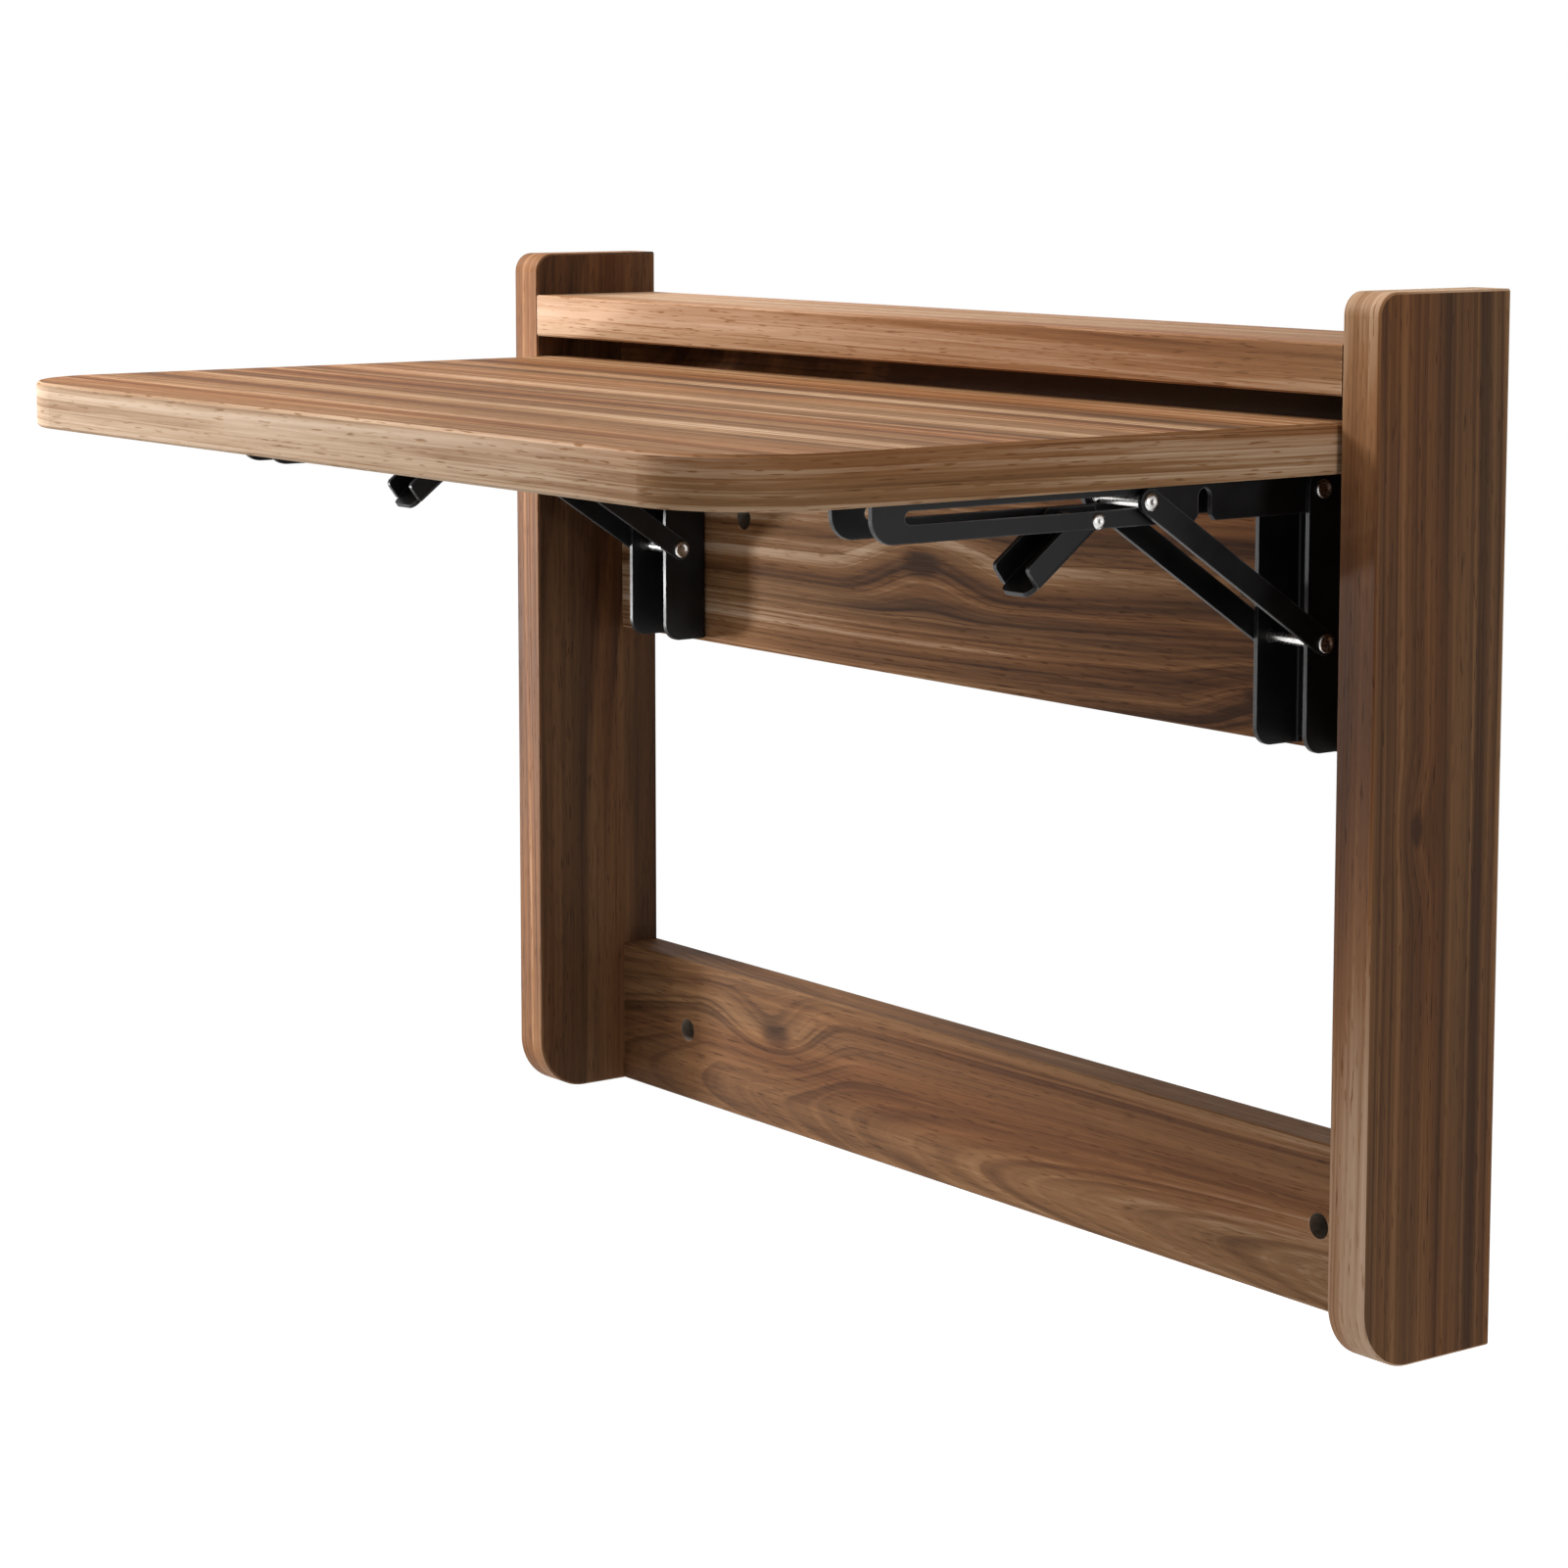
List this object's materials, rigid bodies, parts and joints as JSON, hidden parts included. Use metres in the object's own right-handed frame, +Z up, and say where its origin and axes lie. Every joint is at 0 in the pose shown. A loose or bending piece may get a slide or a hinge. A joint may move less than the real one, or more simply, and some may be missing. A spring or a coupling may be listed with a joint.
{
  "type": "wall-mounted folding desk",
  "caption": "Shallow walnut wall frame with a shelf and a round-cornered desk flap that folds down on a pair of black sheet-steel locking brackets.",
  "frame": {"origin": "midway between the two wall-screw holes of the lower rail, on the wall plane", "axes": "+X along the wall to the right as seen from the room, +Y into the wall, +Z up"},
  "size_m": [0.6, 0.36, 0.42],
  "materials": {
    "walnut": "oiled walnut with straight grain",
    "black_steel": "satin black powder coat",
    "bright_steel": "bright zinc-plated steel"
  },
  "bodies": {
    "frame": {"left_side_panel": "walnut", "right_side_panel": "walnut", "top_shelf": "walnut", "upper_back_panel": "walnut", "lower_rail": "walnut", "left_leg": "black_steel", "right_leg": "black_steel", "arm_pivots": "bright_steel", "strut_pivots": "bright_steel"},
    "desk": {"desk_flap": "walnut", "left_arm": "black_steel", "right_arm": "black_steel", "lever_pivots": "bright_steel"},
    "left_strut": {"left_strut_bar_left": "black_steel", "left_strut_bar_right": "black_steel", "left_strut_end_rivets": "bright_steel"},
    "left_pin": {"left_slide_pin": "bright_steel"},
    "left_release": {"left_lever": "black_steel"},
    "right_strut": {"right_strut_bar_left": "black_steel", "right_strut_bar_right": "black_steel", "right_strut_end_rivets": "bright_steel"},
    "right_pin": {"right_slide_pin": "bright_steel"},
    "right_release": {"right_lever": "black_steel"}
  },
  "joints": [
    {"name": "desk_fold", "type": "hinge", "parent": "frame", "child": "desk", "pos_m": [0, -0.037, 0.305], "axis": [1, 0, 0], "range_deg": [0, 90]},
    {"name": "left_strut_swing", "type": "hinge", "parent": "frame", "child": "left_strut", "pos_m": [-0.222, -0.037, 0.2435], "axis": [1, 0, 0], "range_deg": [0, 123.5]},
    {"name": "left_pin_slide", "type": "slide", "parent": "desk", "child": "left_pin", "axis": [0, -1, 0], "range_m": [0, 0.08]},
    {"name": "left_lever_press", "type": "hinge", "parent": "desk", "child": "left_release", "pos_m": [-0.222, -0.1525, 0.2986], "axis": [-1, 0, 0], "range_deg": [0, 20], "stiffness_Nm_per_rad": 0.08, "springref_deg": -17.19},
    {"name": "right_strut_swing", "type": "hinge", "parent": "frame", "child": "right_strut", "pos_m": [0.222, -0.037, 0.2435], "axis": [1, 0, 0], "range_deg": [0, 123.5]},
    {"name": "right_pin_slide", "type": "slide", "parent": "desk", "child": "right_pin", "axis": [0, -1, 0], "range_m": [0, 0.08]},
    {"name": "right_lever_press", "type": "hinge", "parent": "desk", "child": "right_release", "pos_m": [0.222, -0.1525, 0.2986], "axis": [-1, 0, 0], "range_deg": [0, 20], "stiffness_Nm_per_rad": 0.08, "springref_deg": -17.19}
  ],
  "couplings": [
    {"joint": "left_strut_swing", "follows": "desk_fold", "ratio": 1.372},
    {"joint": "left_pin_slide", "follows": "desk_fold", "m_per_rad": 0.050927},
    {"joint": "right_strut_swing", "follows": "desk_fold", "ratio": 1.372},
    {"joint": "right_pin_slide", "follows": "desk_fold", "m_per_rad": 0.050927}
  ]
}
